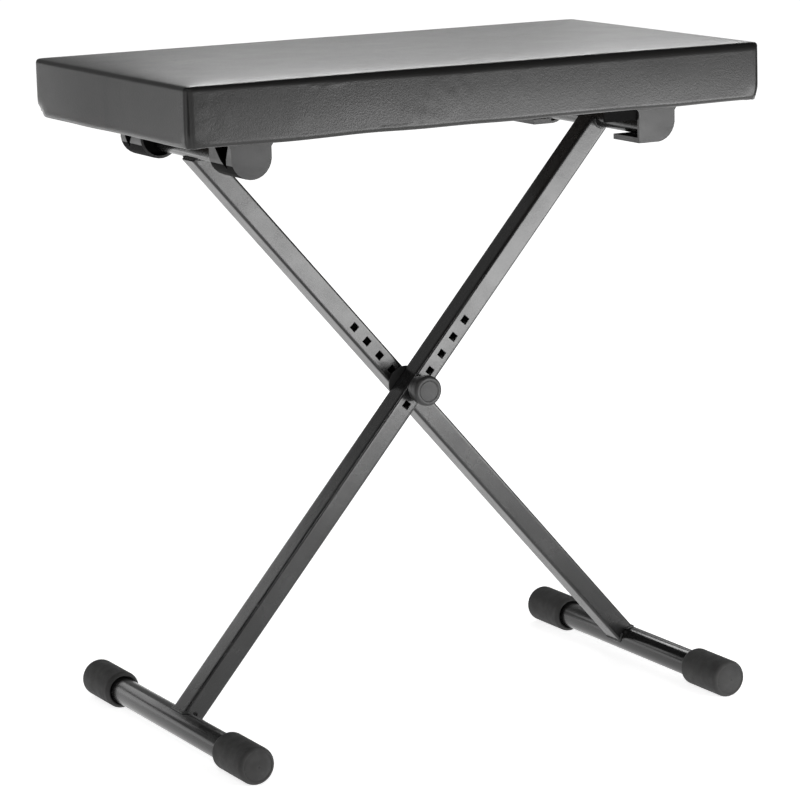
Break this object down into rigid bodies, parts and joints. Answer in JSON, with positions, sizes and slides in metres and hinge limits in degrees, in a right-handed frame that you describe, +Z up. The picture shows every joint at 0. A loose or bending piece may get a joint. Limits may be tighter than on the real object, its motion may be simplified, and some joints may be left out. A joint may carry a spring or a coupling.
{
  "type": "piano bench",
  "caption": "Folding X-frame keyboard bench: padded leatherette seat on two crossed tube legs with round foot tubes, rubber end caps and a clamping knob at the crossing.",
  "frame": {"origin": "on the floor, under the middle of the bench: the middle of the bounding box's bottom", "axes": "+X along the seat, -Y the front where the knob is, +Z up"},
  "size_m": [0.58, 0.346, 0.611],
  "materials": {
    "leatherette": "embossed, satin",
    "foam": "open-cell foam",
    "plywood": "raw",
    "black_steel": "satin black powder coat",
    "foot_steel": "glossy black powder coat",
    "cap_rubber": "matte, fine grain",
    "bracket_plastic": "satin moulded",
    "knob_plastic": "satin moulded",
    "glide_plastic": "satin",
    "zinc_steel": "bright zinc",
    "brass": "turned"
  },
  "bodies": {
    "seat": {"seat_board": "plywood", "foam_pad": "foam", "seat_cover": "leatherette", "pivot_bracket_front": "bracket_plastic", "pivot_bracket_rear": "bracket_plastic", "hook_bracket_front": "bracket_plastic", "hook_bracket_rear": "bracket_plastic", "bracket_screw_1": "zinc_steel", "bracket_screw_2": "zinc_steel", "bracket_screw_3": "zinc_steel", "bracket_screw_4": "zinc_steel", "bracket_screw_5": "zinc_steel", "bracket_screw_6": "zinc_steel", "bracket_screw_7": "zinc_steel", "bracket_screw_8": "zinc_steel"},
    "rear_leg": {"rear_leg_tube": "black_steel", "left_crossbar": "black_steel", "right_foot_tube": "foot_steel", "right_foot_cap_front": "cap_rubber", "right_foot_cap_rear": "cap_rubber", "pivot_bolt": "zinc_steel", "glide_washer": "glide_plastic"},
    "front_leg": {"front_leg_tube": "black_steel", "right_crossbar": "black_steel", "left_foot_tube": "foot_steel", "left_foot_cap_front": "cap_rubber", "left_foot_cap_rear": "cap_rubber", "knob_washer": "zinc_steel"},
    "knob": {"clamp_knob": "knob_plastic", "knob_insert": "brass"}
  },
  "joints": [
    {"name": "fold", "type": "hinge", "parent": "seat", "child": "rear_leg", "pos_m": [-0.20319, 0, 0.53535], "axis": [0, 1, 0], "range_deg": [0, 38]},
    {"name": "scissor", "type": "hinge", "parent": "rear_leg", "child": "front_leg", "pos_m": [0, 0, 0.30188], "axis": [0, 1, 0], "range_deg": [-76, 0]},
    {"name": "knob_turn", "type": "hinge", "parent": "rear_leg", "child": "knob", "pos_m": [0, -0.04, 0.30188], "axis": [0, 1, 0], "continuous": true}
  ],
  "couplings": [
    {"joint": "scissor", "follows": "fold", "ratio": -2}
  ]
}
